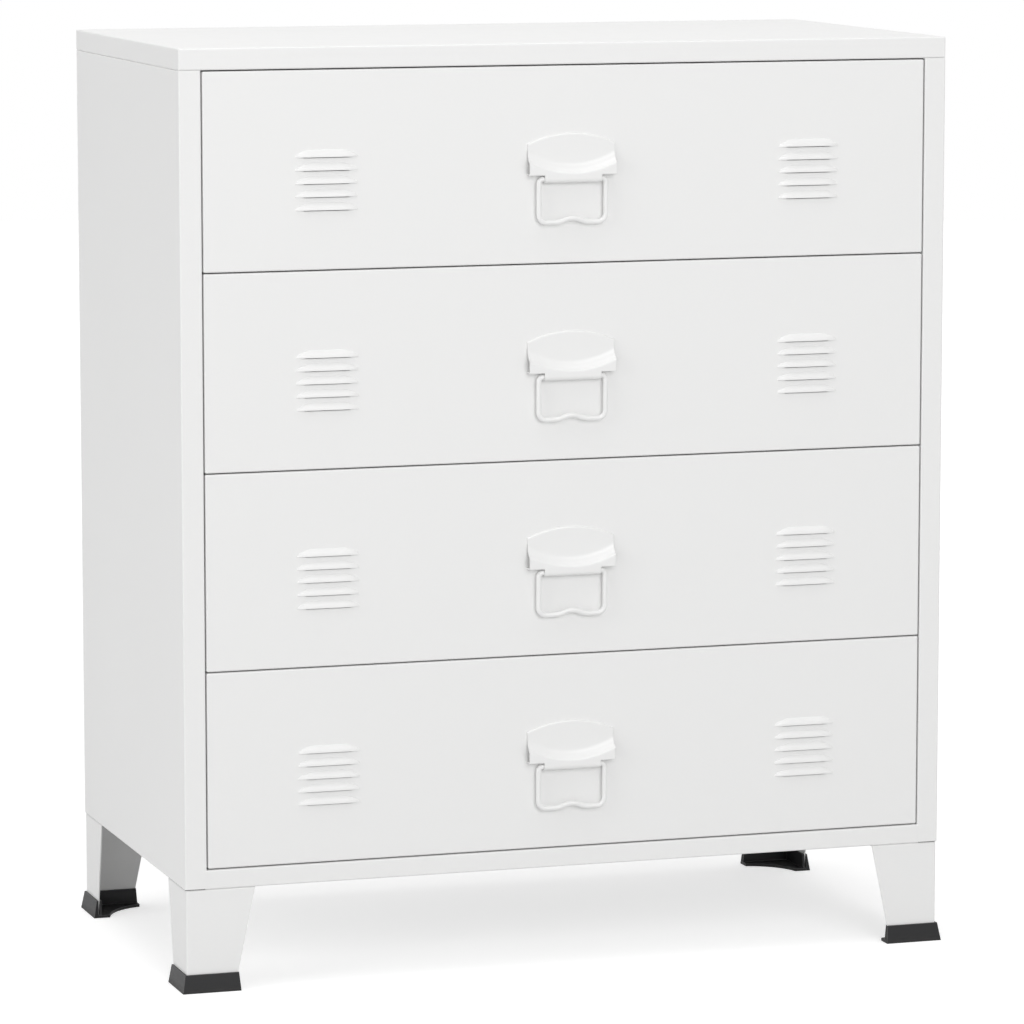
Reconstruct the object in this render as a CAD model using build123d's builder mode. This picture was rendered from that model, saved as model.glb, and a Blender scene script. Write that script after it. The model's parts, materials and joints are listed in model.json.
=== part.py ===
"""Sheet-steel drawer cabinet on tapered angle legs.

The origin is on the floor under the middle of the overall box. +Z is up, +X is to
the right of someone facing the drawers, and the drawers open towards -Y.
All sizes are in millimetres.
"""

import os
from math import cos, radians

from build123d import *

os.makedirs("parts", exist_ok=True)

# Cabinet body
CABINET_WIDTH = 790.0
CABINET_DEPTH = 420.0
CABINET_HEIGHT = 920.0
SHEET = 0.8
BEND = 1.6  # outside radius of a fold
SEAM = 0.15  # gap between two flush sheet edges
TOP_SKIRT = 21.0
TOP_RETURN = 14.0
STILE_WIDTH = 22.0
FRONT_LIP = 62.0
REAR_LIP = 42.0
SIDE_TOP_FLANGE = 16.0
BOTTOM_RAIL = 19.0
RAIL_RETURN = 15.0
BOTTOM_FLANGE = 15.0

# Legs and their moulded shoes
LEG_HEIGHT = 102.0
LEG_SHEET = 1.2
LEG_BEND = 2.0  # outside radius of the fold into the top flange
LEG_INSET = 1.0
LEG_TOP_WIDTH = 70.0
LEG_FLOOR_WIDTH = 48.5
LEG_FLANGE_LAND = 22.0  # width of the top flange at its two ends
FOOT_HEIGHT = 18.0
FOOT_BASE = 3.0
FOOT_WALL = 1.6
FOOT_FLARE = 3.2
FOOT_CLEARANCE = 0.15
FOOT_INNER_WALL = 2.0
FOOT_ARM = 52.5
FOOT_ARM_FLARE = 1.5
FOOT_TOE = 12.0
FOOT_ARC_SAG = 6.0

# Leg bolts and the nuts welded to the bottom panel
BOLT_DIAMETER = 6.0
BOLT_CLEARANCE = 0.1
BOLT_HEAD_WIDTH = 10.0
BOLT_HEAD_HEIGHT = 4.0
BOLT_LENGTH = 8.0
BOLT_NEAR = 11.0  # from one outer face of the leg
BOLT_FAR = 48.0  # from its other outer face
NUT_WIDTH = 10.0
NUT_HEIGHT = 5.0

# Screws of the back panel
SCREW_DIAMETER = 3.5
SCREW_CLEARANCE = 0.1
SCREW_HEAD_WIDTH = 6.0
SCREW_HEAD_HEIGHT = 1.8
SCREW_LENGTH = 5.0
BACK_SCREW_ROWS = 4
BACK_SCREW_MARGIN = 60.0
ANCHOR_DIAMETER = 6.0
ANCHOR_SPACING = 500.0
ANCHOR_DROP = 50.0  # from the top edge of the back panel

# Drawer fronts and trays
DRAWER_COUNT = 4
DRAWER_GAP = 1.3
FRONT_DEPTH = 18.0
FRONT_RETURN = 20.0
TRAY_HEIGHT = 150.0
TRAY_DEPTH = 374.0
TRAY_RAISE = 6.0  # tray floor above the lower edge of the front
TRAY_HEM = 8.0

# Roller runners
SLIDE_SPACE = 13.5  # between the stile lip and the side of the tray
RUNNER_SHEET = 1.0
RUNNER_BEND = 1.5
RUNNER_WIDTH = 11.0
RUNNER_LENGTH = 380.0
RUNNER_SETBACK = 2.0
RAIL_LENGTH = 366.0
RAIL_FOOT = 14.0  # flange under the tray
RAIL_FLANGE = 9.5
ROLLER_WIDTH = 6.0
FRONT_ROLLER = 18.0
REAR_ROLLER = 22.0
ROLLER_SETBACK = 14.0
ROLLER_STANDOFF = 3.5  # between a drawer rail and its roller
ROLL_GAP = 0.3
AXLE_DIAMETER = 6.0
AXLE_CLEARANCE = 0.1
AXLE_COLLAR = 9.0
AXLE_HEAD_HEIGHT = 0.8

# Ventilation louvres
LOUVRE_COUNT = 5
LOUVRE_WIDTH = 63.0
LOUVRE_RISE = 7.5
LOUVRE_OUT = 2.6
LOUVRE_CURVE = 12.5  # radius of the flare down to the lip
LOUVRE_TAPER = 15.0  # length of each closed end
LOUVRE_SLIT_TAPER = 10.8  # length of the slit's end inside it
LOUVRE_PITCH = 12.8
LOUVRE_RELIEF = 0.8  # slit below the lip
LOUVRE_INSET = 123.0  # centre from the side edge of the front
LOUVRE_DROP = 84.0  # first lip below the upper edge of the front

# Handle plate, with drops measured down from the top of its arch
HANDLE_DROP = 65.5  # arch below the upper edge of the front
HANDLE_WIDTH = 90.0
HANDLE_SHEET = 1.2
HANDLE_BEND = 1.8
HANDLE_RAISE = 2.0  # face of the plate in front of the drawer
ARCH_RISE = 10.0
ARCH_EDGE = 1.6  # radius of the rounded rim
RIM_SIDE = 7.0  # length of the turned rim down each side
COVE_DROP = 29.0
COVE_RADIUS = 91.0  # of the smile that the cove starts along
COVE_ANGLE = 65.0
BAND_BOTTOM = 40.8
BAND_OUT = 9.0
TAB_WIDTH = 59.0
PIVOT_DROP = 44.6
STUD_DIAMETER = 4.0
STUD_LENGTH = 7.0
STUD_SPACING = 50.0
STUD_DROP = 18.0
STUD_CLEARANCE = 0.1
STUD_NUT_WIDTH = 7.0
STUD_NUT_HEIGHT = 3.2

# Wire bail
WIRE_DIAMETER = 5.0
WIRE_CLEARANCE = 0.1
WIRE_JOINT = 1.0  # butt gap inside the rolled tab
BAIL_SPAN = 69.0
BAIL_DROP = 42.5
BAIL_SHOULDER = 4.5
BAIL_CORNER = 8.0
BAIL_CREST = 3.8
BAIL_WAVE = 18.0  # half width of the raised middle

# Places worked out from the sizes above
FOOT_OUT = FOOT_CLEARANCE + FOOT_WALL + FOOT_FLARE - LEG_INSET
Y_FRONT = BAND_OUT - (CABINET_DEPTH + FOOT_OUT + BAND_OUT) / 2
Y_BACK = Y_FRONT + CABINET_DEPTH
Y_MIDDLE = (Y_FRONT + Y_BACK) / 2
Y_REAR_FOLD = Y_BACK - SHEET  # outer face of the folds that carry the back panel
X_SIDE = CABINET_WIDTH / 2
X_OPENING = X_SIDE - STILE_WIDTH
Z_SKIRT = CABINET_HEIGHT - TOP_SKIRT
Z_OPENING = LEG_HEIGHT + BOTTOM_RAIL

FRONT_WIDTH = 2 * (X_OPENING - DRAWER_GAP)
FRONT_PITCH = (Z_SKIRT - Z_OPENING - DRAWER_GAP) / DRAWER_COUNT
FRONT_HEIGHT = FRONT_PITCH - DRAWER_GAP

X_LEG = -X_SIDE + LEG_INSET  # outer faces of the front left leg
Y_LEG = Y_FRONT + LEG_INSET
BOLT_PLACES = [
    (X_LEG + BOLT_NEAR, Y_LEG + BOLT_FAR),
    (X_LEG + BOLT_FAR, Y_LEG + BOLT_NEAR),
]
SCREW_STEP = (Z_SKIRT - LEG_HEIGHT - 2 * BACK_SCREW_MARGIN) / (BACK_SCREW_ROWS - 1)
BACK_SCREW_PLACES = [
    (X_SIDE - STILE_WIDTH / 2, LEG_HEIGHT + BACK_SCREW_MARGIN + SCREW_STEP * row)
    for row in range(BACK_SCREW_ROWS)
]

Y_TRAY = Y_FRONT + FRONT_DEPTH
X_TRAY = X_OPENING - SLIDE_SPACE
Z_TRAY_TOP = TRAY_RAISE + TRAY_HEIGHT
Y_RUNNER = Y_TRAY + RUNNER_SETBACK
Z_RUNNER = TRAY_RAISE - RUNNER_SHEET
RUNNER_HEIGHT = REAR_ROLLER + 2 * ROLL_GAP + 2 * RUNNER_SHEET
Z_TREAD = Z_RUNNER + RUNNER_SHEET + ROLL_GAP  # lowest point of both rollers
Z_FRONT_AXLE = Z_TREAD + FRONT_ROLLER / 2
Z_REAR_AXLE = Z_TREAD + REAR_ROLLER / 2
Z_RAIL_FLANGE = Z_TREAD + FRONT_ROLLER + ROLL_GAP
Y_FRONT_AXLE = Y_RUNNER + ROLLER_SETBACK
Y_REAR_AXLE = Y_RUNNER + RAIL_LENGTH - ROLLER_SETBACK
X_RUNNER_WEB = X_OPENING - RUNNER_SHEET
X_RAIL_WEB = X_TRAY + RUNNER_SHEET
X_REAR_ROLLER = X_RAIL_WEB + ROLLER_STANDOFF

Z_ARCH = FRONT_HEIGHT - HANDLE_DROP
ARCH_RADIUS = ((HANDLE_WIDTH / 2) ** 2 + ARCH_RISE**2) / (2 * ARCH_RISE)
COVE_BEND = (BAND_OUT - HANDLE_RAISE) / (1 - cos(radians(COVE_ANGLE))) - HANDLE_BEND
ROLL_INSIDE = WIRE_DIAMETER / 2 + WIRE_CLEARANCE
ROLL_OUTSIDE = ROLL_INSIDE + HANDLE_SHEET
Y_PIVOT = Y_FRONT - BAND_OUT + ROLL_OUTSIDE
Z_PIVOT = Z_ARCH - PIVOT_DROP
STUD_PLACES = [
    (-STUD_SPACING / 2, Z_ARCH - STUD_DROP),
    (STUD_SPACING / 2, Z_ARCH - STUD_DROP),
]

DRAWERS = range(1, DRAWER_COUNT + 1)  # drawer 1 is the top one
MIRROR_X = Plane.YZ
MIRROR_Y = Plane.XZ.offset(-Y_MIDDLE)
FACE = Plane.XZ.offset(-Y_FRONT)  # the plane of the drawer fronts, facing forwards


def front_bottom(number):
    """Height of the lower edge of a drawer front."""
    return Z_OPENING + DRAWER_GAP + FRONT_PITCH * (DRAWER_COUNT - number)


def leg_width(height):
    """Width of a leg's plates at a height above the floor."""
    return LEG_FLOOR_WIDTH + (LEG_TOP_WIDTH - LEG_FLOOR_WIDTH) * height / LEG_HEIGHT


def four_corners(x, y):
    """A place under the front left corner and its mirror images at the others."""
    return [(x, y), (-x, y), (x, 2 * Y_MIDDLE - y), (-x, 2 * Y_MIDDLE - y)]


def folded(points, side, thickness=SHEET, radius=BEND):
    """Draws the closed section of a folded sheet from the line of one face."""
    FilletPolyline(*points, radius=radius)
    offset(amount=thickness, side=side)


def save(shape, name):
    """Labels a finished piece and writes its STEP file."""
    shape.label = name
    export_step(shape, f"parts/{name}.step")


# Top panel: a pan whose skirt is turned in to rest on the sides
with BuildPart() as top_panel:
    with BuildSketch(Plane.XY.offset(Z_SKIRT)):
        with Locations((0, Y_MIDDLE)):
            Rectangle(CABINET_WIDTH, CABINET_DEPTH)
    extrude(amount=TOP_SKIRT)
    fillet(top_panel.edges().filter_by(Axis.Z), BEND)
    fillet(top_panel.faces().sort_by(Axis.Z)[-1].edges(), BEND)
    fillet(top_panel.faces().sort_by(Axis.Z)[0].edges(), BEND)
    with BuildSketch(Plane.XY.offset(Z_SKIRT + SHEET)):
        with Locations((0, Y_MIDDLE)):
            Rectangle(CABINET_WIDTH - 2 * SHEET, CABINET_DEPTH - 2 * SHEET)
    extrude(amount=TOP_SKIRT - 2 * SHEET, mode=Mode.SUBTRACT)
    with BuildSketch(Plane.XY.offset(Z_SKIRT)):
        with Locations((0, Y_MIDDLE)):
            Rectangle(CABINET_WIDTH - 2 * TOP_RETURN, CABINET_DEPTH - 2 * TOP_RETURN)
    extrude(amount=SHEET, mode=Mode.SUBTRACT)
save(top_panel.part, "top_panel")


# Side panel: skin, stile and rear fold with their lips, and a flange under the top.
# It stands on the bottom panel, one sheet above the legs.
with BuildPart() as side_panel:
    with BuildSketch(Plane.XY.offset(LEG_HEIGHT + SHEET)):
        with BuildLine():
            folded(
                [
                    (X_OPENING, Y_FRONT + FRONT_LIP),
                    (X_OPENING, Y_FRONT),
                    (X_SIDE, Y_FRONT),
                    (X_SIDE, Y_REAR_FOLD),
                    (X_OPENING, Y_REAR_FOLD),
                    (X_OPENING, Y_REAR_FOLD - REAR_LIP),
                ],
                Side.LEFT,
            )
        make_face()
    extrude(amount=Z_SKIRT - LEG_HEIGHT - SHEET)
    with BuildSketch(Plane.XY.offset(Z_SKIRT - SHEET)):
        with Locations((X_SIDE - SHEET / 2, (Y_FRONT + Y_REAR_FOLD) / 2)):
            Rectangle(
                SIDE_TOP_FLANGE - SHEET / 2,
                Y_REAR_FOLD - Y_FRONT - SHEET,
                align=(Align.MAX, Align.CENTER),
            )
    extrude(amount=SHEET)
    # The fold into that flange is round between the corner reliefs
    with BuildSketch(Plane.XZ.offset(-Y_FRONT - BEND)):
        with Locations((X_SIDE - BEND, Z_SKIRT - BEND)):
            Rectangle(2 * BEND, 2 * BEND, align=(Align.MIN, Align.MIN))
            Circle(BEND, mode=Mode.SUBTRACT)
    extrude(amount=Y_FRONT - Y_REAR_FOLD + 2 * BEND, mode=Mode.SUBTRACT)
    with BuildSketch(Plane.XZ.offset(-Y_REAR_FOLD)):
        with Locations(*BACK_SCREW_PLACES):
            Circle(SCREW_DIAMETER / 2 + SCREW_CLEARANCE)
    extrude(amount=SHEET, mode=Mode.SUBTRACT)
with BuildPart() as left_side_panel:
    mirror(side_panel.part, about=MIRROR_X)
save(side_panel.part, "right_side_panel")
save(left_side_panel.part, "left_side_panel")


# Back panel, screwed on from behind, with two holes for a wall strap
with BuildPart() as back_panel:
    with BuildSketch(Plane.XZ.offset(-Y_BACK)):
        with Locations((0, LEG_HEIGHT)):
            Rectangle(
                CABINET_WIDTH - 2 * BEND,
                Z_SKIRT - LEG_HEIGHT - SEAM,
                align=(Align.CENTER, Align.MIN),
            )
        for x, z in BACK_SCREW_PLACES:
            with Locations((x, z), (-x, z)):
                Circle(SCREW_DIAMETER / 2 + SCREW_CLEARANCE, mode=Mode.SUBTRACT)
        with Locations((0, Z_SKIRT - ANCHOR_DROP)):
            with GridLocations(ANCHOR_SPACING, 0, 2, 1):
                Circle(ANCHOR_DIAMETER / 2, mode=Mode.SUBTRACT)
    extrude(amount=SHEET)
save(back_panel.part, "back_panel")


# Bottom panel: floor, front rail with its return, side and rear flanges, weld nuts
with BuildPart() as bottom_panel:
    with BuildSketch(Plane.YZ.offset(-X_OPENING + SEAM)):
        with BuildLine():
            folded(
                [
                    (Y_FRONT + RAIL_RETURN, Z_OPENING),
                    (Y_FRONT, Z_OPENING),
                    (Y_FRONT, LEG_HEIGHT),
                    (Y_REAR_FOLD, LEG_HEIGHT),
                    (Y_REAR_FOLD, LEG_HEIGHT + BOTTOM_FLANGE),
                ],
                Side.LEFT,
            )
        make_face()
    extrude(amount=2 * (X_OPENING - SEAM))
    with BuildSketch(Plane.XY.offset(LEG_HEIGHT)):
        with Locations((0, (Y_FRONT + Y_REAR_FOLD) / 2)):
            Rectangle(CABINET_WIDTH - 2 * SHEET, Y_REAR_FOLD - Y_FRONT - 2 * BEND)
    extrude(amount=SHEET)
    with BuildSketch(Plane.XY.offset(LEG_HEIGHT)):
        for side in (-1, 1):
            with Locations((side * (X_SIDE - 1.5 * SHEET), Y_MIDDLE)):
                Rectangle(SHEET, CABINET_DEPTH - 2 * FRONT_LIP - 2 * BEND)
    extrude(amount=BOTTOM_FLANGE)
    for x, y in BOLT_PLACES:
        with BuildSketch(Plane.XY.offset(LEG_HEIGHT + SHEET)):
            with Locations(*four_corners(x, y)):
                RegularPolygon(NUT_WIDTH / 2, 6, major_radius=False)
        extrude(amount=NUT_HEIGHT)
        with BuildSketch(Plane.XY.offset(LEG_HEIGHT)):
            with Locations(*four_corners(x, y)):
                Circle(BOLT_DIAMETER / 2 + BOLT_CLEARANCE)
        extrude(amount=SHEET + NUT_HEIGHT, mode=Mode.SUBTRACT)
save(bottom_panel.part, "bottom_panel")


# Leg: a folded angle with tapered plates and a flange bolted under the body
with BuildPart() as leg:
    with BuildSketch(Plane.XY.offset(FOOT_BASE)):
        with BuildLine():
            folded(
                [
                    (X_LEG, Y_LEG + LEG_TOP_WIDTH),
                    (X_LEG, Y_LEG),
                    (X_LEG + LEG_TOP_WIDTH, Y_LEG),
                ],
                Side.LEFT,
                LEG_SHEET,
            )
        make_face()
    extrude(amount=LEG_HEIGHT - FOOT_BASE)
    for plane, corner in ((Plane.XZ, X_LEG), (Plane.YZ, Y_LEG)):
        with BuildSketch(plane):
            with BuildLine():
                Polyline(
                    (corner + LEG_TOP_WIDTH, LEG_HEIGHT),
                    (corner + LEG_TOP_WIDTH, FOOT_BASE),
                    (corner + leg_width(FOOT_BASE), FOOT_BASE),
                    close=True,
                )
            make_face()
        extrude(amount=CABINET_WIDTH, both=True, mode=Mode.SUBTRACT)
    flange = leg_width(LEG_HEIGHT - LEG_SHEET)
    with BuildSketch(Plane.XY.offset(LEG_HEIGHT - LEG_SHEET)):
        with Locations((X_LEG, Y_LEG)):
            Polygon(
                (LEG_SHEET / 2, LEG_SHEET / 2),
                (flange, LEG_SHEET / 2),
                (flange, LEG_FLANGE_LAND),
                (LEG_FLANGE_LAND, flange),
                (LEG_SHEET / 2, flange),
                align=None,
            )
        with Locations(*BOLT_PLACES):
            Circle(BOLT_DIAMETER / 2 + BOLT_CLEARANCE, mode=Mode.SUBTRACT)
    extrude(amount=LEG_SHEET)
    for plane, corner in ((Plane.XZ, X_LEG), (Plane.YZ, Y_LEG)):
        with BuildSketch(plane):
            with Locations((corner + LEG_BEND, LEG_HEIGHT - LEG_BEND)):
                Rectangle(2 * LEG_BEND, 2 * LEG_BEND, align=(Align.MAX, Align.MIN))
                Circle(LEG_BEND, mode=Mode.SUBTRACT)
        extrude(amount=CABINET_WIDTH, both=True, mode=Mode.SUBTRACT)


# Foot: a moulded shoe with a slot for the angle and a base with a hollow inner edge
with BuildPart() as foot:
    wall_top = FOOT_CLEARANCE + FOOT_WALL
    wall_floor = wall_top + FOOT_FLARE
    inside = LEG_SHEET + FOOT_CLEARANCE + FOOT_INNER_WALL
    floor_arm = FOOT_ARM + FOOT_ARM_FLARE
    sections = ((0, wall_floor, floor_arm), (FOOT_HEIGHT, wall_top, FOOT_ARM))
    for height, wall, arm in sections:
        with BuildSketch(Plane.XY.offset(height)):
            with Locations((X_LEG, Y_LEG)):
                Polygon(
                    (-wall, -wall),
                    (arm, -wall),
                    (arm, inside),
                    (inside, inside),
                    (inside, arm),
                    (-wall, arm),
                    align=None,
                )
    loft()
    hollow = (floor_arm + FOOT_TOE) / 2 - FOOT_ARC_SAG
    with BuildSketch(Plane(origin=(X_LEG, Y_LEG, 0))):
        with BuildLine():
            toe = ThreePointArc(
                (floor_arm, FOOT_TOE), (hollow, hollow), (FOOT_TOE, floor_arm)
            )
            Polyline(toe @ 1, (0, floor_arm), (0, 0), (floor_arm, 0), toe @ 0)
        make_face()
    extrude(amount=FOOT_BASE)
    slot = LEG_SHEET + 2 * FOOT_CLEARANCE
    with BuildSketch(Plane.XY.offset(FOOT_BASE)):
        with Locations((X_LEG - FOOT_CLEARANCE, Y_LEG - FOOT_CLEARANCE)):
            Rectangle(2 * FOOT_ARM, slot, align=(Align.MIN, Align.MIN))
            Rectangle(slot, 2 * FOOT_ARM, align=(Align.MIN, Align.MIN))
    extrude(amount=FOOT_HEIGHT, mode=Mode.SUBTRACT)

for builder, name in ((leg, "leg"), (foot, "foot")):
    with BuildPart() as front_right:
        mirror(builder.part, about=MIRROR_X)
    with BuildPart() as rear_left:
        mirror(builder.part, about=MIRROR_Y)
    with BuildPart() as rear_right:
        mirror(front_right.part, about=MIRROR_Y)
    save(builder.part, f"front_left_{name}")
    save(front_right.part, f"front_right_{name}")
    save(rear_left.part, f"rear_left_{name}")
    save(rear_right.part, f"rear_right_{name}")


# Leg bolts: hexagon heads under the leg flanges
with BuildPart() as leg_bolts:
    for x, y in BOLT_PLACES:
        with BuildSketch(Plane.XY.offset(LEG_HEIGHT - LEG_SHEET)):
            with Locations(*four_corners(x, y)):
                RegularPolygon(BOLT_HEAD_WIDTH / 2, 6, major_radius=False)
        extrude(amount=-BOLT_HEAD_HEIGHT)
        with BuildSketch(Plane.XY.offset(LEG_HEIGHT - LEG_SHEET)):
            with Locations(*four_corners(x, y)):
                Circle(BOLT_DIAMETER / 2)
        extrude(amount=BOLT_LENGTH)
save(leg_bolts.part, "leg_bolts")


# Back screws: hexagon heads behind the back panel
with BuildPart() as back_screws:
    places = [(side * x, z) for x, z in BACK_SCREW_PLACES for side in (-1, 1)]
    with BuildSketch(Plane.XZ.offset(-Y_BACK)):
        with Locations(*places):
            RegularPolygon(SCREW_HEAD_WIDTH / 2, 6, major_radius=False)
    extrude(amount=-SCREW_HEAD_HEIGHT)
    with BuildSketch(Plane.XZ.offset(-Y_BACK)):
        with Locations(*places):
            Circle(SCREW_DIAMETER / 2)
    extrude(amount=SCREW_LENGTH)
save(back_screws.part, "back_screws")


# From here on heights are measured from the lower edge of a drawer front

# Runner: a channel welded to the lips, with an axle for its roller near the front end
with BuildPart() as runner:
    with BuildSketch(Plane.XZ.offset(-Y_RUNNER)):
        with BuildLine():
            folded(
                [
                    (X_OPENING - RUNNER_WIDTH, Z_RUNNER),
                    (X_OPENING, Z_RUNNER),
                    (X_OPENING, Z_RUNNER + RUNNER_HEIGHT),
                    (X_OPENING - RUNNER_WIDTH, Z_RUNNER + RUNNER_HEIGHT),
                ],
                Side.LEFT,
                RUNNER_SHEET,
                RUNNER_BEND,
            )
        make_face()
    extrude(amount=-RUNNER_LENGTH)
    axle_reach = ROLLER_WIDTH + 2 * ROLL_GAP
    with BuildSketch(Plane.YZ.offset(X_RUNNER_WEB)):
        with Locations((Y_FRONT_AXLE, Z_FRONT_AXLE)):
            Circle(AXLE_DIAMETER / 2)
    extrude(amount=-axle_reach)
    with BuildSketch(Plane.YZ.offset(X_RUNNER_WEB - axle_reach)):
        with Locations((Y_FRONT_AXLE, Z_FRONT_AXLE)):
            Circle(AXLE_COLLAR / 2)
    extrude(amount=-AXLE_HEAD_HEIGHT)


# Drawer rail: a flange under the tray, a web beside it and a running flange on top
with BuildPart() as rail:
    with BuildSketch(Plane.XZ.offset(-Y_RUNNER)):
        with BuildLine():
            folded(
                [
                    (X_TRAY - RAIL_FOOT, Z_RUNNER),
                    (X_RAIL_WEB, Z_RUNNER),
                    (X_RAIL_WEB, Z_RAIL_FLANGE),
                    (X_RAIL_WEB + RAIL_FLANGE, Z_RAIL_FLANGE),
                ],
                Side.LEFT,
                RUNNER_SHEET,
                RUNNER_BEND,
            )
        make_face()
    extrude(amount=-RAIL_LENGTH)
    # The running flange stops short of the rear roller
    with BuildSketch(Plane.XY.offset(Z_RAIL_FLANGE - RUNNER_BEND)):
        with Locations((X_RAIL_WEB, Y_REAR_AXLE - REAR_ROLLER / 2 - RUNNER_SETBACK)):
            Rectangle(2 * RAIL_FLANGE, RAIL_LENGTH, align=(Align.MIN, Align.MIN))
    extrude(amount=2 * RUNNER_BEND + RUNNER_SHEET, mode=Mode.SUBTRACT)
    with BuildSketch(Plane.YZ.offset(X_RAIL_WEB)):
        with Locations((Y_REAR_AXLE, Z_REAR_AXLE)):
            Circle(AXLE_COLLAR / 2)
    extrude(amount=ROLLER_STANDOFF - ROLL_GAP)
    with BuildSketch(Plane.YZ.offset(X_RAIL_WEB)):
        with Locations((Y_REAR_AXLE, Z_REAR_AXLE)):
            Circle(AXLE_DIAMETER / 2)
    extrude(amount=ROLLER_STANDOFF + ROLLER_WIDTH + ROLL_GAP)
    with BuildSketch(Plane.YZ.offset(X_REAR_ROLLER + ROLLER_WIDTH + ROLL_GAP)):
        with Locations((Y_REAR_AXLE, Z_REAR_AXLE)):
            Circle(AXLE_COLLAR / 2)
    extrude(amount=AXLE_HEAD_HEIGHT)


def roller_pair(diameter, x, y, z):
    """Two rollers on one line, the right one starting at x."""
    with BuildPart() as rollers:
        with BuildSketch(Plane.YZ.offset(x)):
            with Locations((y, z)):
                Circle(diameter / 2)
                Circle(AXLE_DIAMETER / 2 + AXLE_CLEARANCE, mode=Mode.SUBTRACT)
        extrude(amount=ROLLER_WIDTH)
        mirror(about=MIRROR_X)
    return rollers


front_rollers = roller_pair(
    FRONT_ROLLER, X_RUNNER_WEB - ROLL_GAP - ROLLER_WIDTH, Y_FRONT_AXLE, Z_FRONT_AXLE
)
rear_rollers = roller_pair(REAR_ROLLER, X_REAR_ROLLER, Y_REAR_AXLE, Z_REAR_AXLE)


# Tray: floor and sides in one fold with hemmed rims, closed by two end walls
with BuildPart() as tray:
    with BuildSketch(Plane.XZ.offset(-Y_TRAY)):
        with BuildLine():
            folded(
                [
                    (TRAY_HEM - X_TRAY, Z_TRAY_TOP),
                    (-X_TRAY, Z_TRAY_TOP),
                    (-X_TRAY, TRAY_RAISE),
                    (X_TRAY, TRAY_RAISE),
                    (X_TRAY, Z_TRAY_TOP),
                    (X_TRAY - TRAY_HEM, Z_TRAY_TOP),
                ],
                Side.LEFT,
            )
        make_face()
    extrude(amount=-TRAY_DEPTH)
    for y in (Y_TRAY, Y_TRAY + TRAY_DEPTH - SHEET):
        with BuildSketch(Plane.XZ.offset(-y)):
            with Locations((0, TRAY_RAISE + TRAY_HEIGHT / 2)):
                RectangleRounded(2 * X_TRAY, TRAY_HEIGHT, BEND)
        extrude(amount=-SHEET)
    with BuildSketch(Plane.XY.offset(Z_TRAY_TOP - SHEET)):
        with Locations((0, Y_TRAY + TRAY_DEPTH)):
            Rectangle(2 * (X_TRAY - BEND), TRAY_HEM, align=(Align.CENTER, Align.MAX))
    extrude(amount=SHEET)


# Louvre: a scoop that flares down to an open lip, drawn with its lip at the origin
LOUVRE_HALF = LOUVRE_WIDTH / 2 - LOUVRE_TAPER
with BuildPart() as scoop_end:
    with BuildSketch(Plane.YZ):
        with BuildLine():
            flare = RadiusArc((-LOUVRE_OUT, 0), (0, LOUVRE_RISE), LOUVRE_CURVE)
            Polyline(flare @ 1, (0, 0), flare @ 0)
        make_face()
    revolve(axis=Axis.Z, revolution_arc=90)
    scale(by=(LOUVRE_TAPER / LOUVRE_OUT, 1, 1))
with BuildPart() as scoop:
    with BuildSketch(Plane.YZ.offset(-LOUVRE_HALF)):
        with BuildLine():
            flare = RadiusArc((-LOUVRE_OUT, 0), (0, LOUVRE_RISE), LOUVRE_CURVE)
            Polyline(flare @ 1, (SHEET / 2, LOUVRE_RISE), (SHEET / 2, 0), flare @ 0)
        make_face()
    extrude(amount=2 * LOUVRE_HALF)
    with Locations((LOUVRE_HALF, 0, 0)):
        add(scoop_end.part)
    mirror(about=MIRROR_X)
SLIT_LIP = (1.25 * SHEET - LOUVRE_OUT, 0)
with BuildPart() as slit_end:
    with BuildSketch(Plane.YZ):
        with BuildLine():
            inner = RadiusArc(SLIT_LIP, (SHEET, LOUVRE_RISE), LOUVRE_CURVE + SHEET)
            Polyline(
                inner @ 1,
                (SHEET, -LOUVRE_RELIEF),
                (-SHEET, -LOUVRE_RELIEF),
                (-SHEET, 0),
                inner @ 0,
            )
        make_face()
    revolve(axis=Axis((0, SHEET, 0), (0, 0, 1)), revolution_arc=90)
    scale(by=(LOUVRE_SLIT_TAPER / (SHEET - SLIT_LIP[0]), 1, 1))
with BuildPart() as slit:
    with BuildSketch(Plane.YZ.offset(-LOUVRE_HALF)):
        with BuildLine():
            inner = RadiusArc(SLIT_LIP, (SHEET, LOUVRE_RISE), LOUVRE_CURVE + SHEET)
            Polyline(
                inner @ 1,
                (2 * SHEET, LOUVRE_RISE),
                (2 * SHEET, -LOUVRE_RELIEF),
                (-SHEET, -LOUVRE_RELIEF),
                (-SHEET, 0),
                inner @ 0,
            )
        make_face()
    extrude(amount=2 * LOUVRE_HALF)
    with Locations((LOUVRE_HALF, 0, 0)):
        add(slit_end.part)
    mirror(about=MIRROR_X)
LOUVRE_PLACES = [
    (
        side * (FRONT_WIDTH / 2 - LOUVRE_INSET),
        Y_FRONT,
        FRONT_HEIGHT - LOUVRE_DROP - LOUVRE_PITCH * row,
    )
    for side in (-1, 1)
    for row in range(LOUVRE_COUNT)
]


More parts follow.
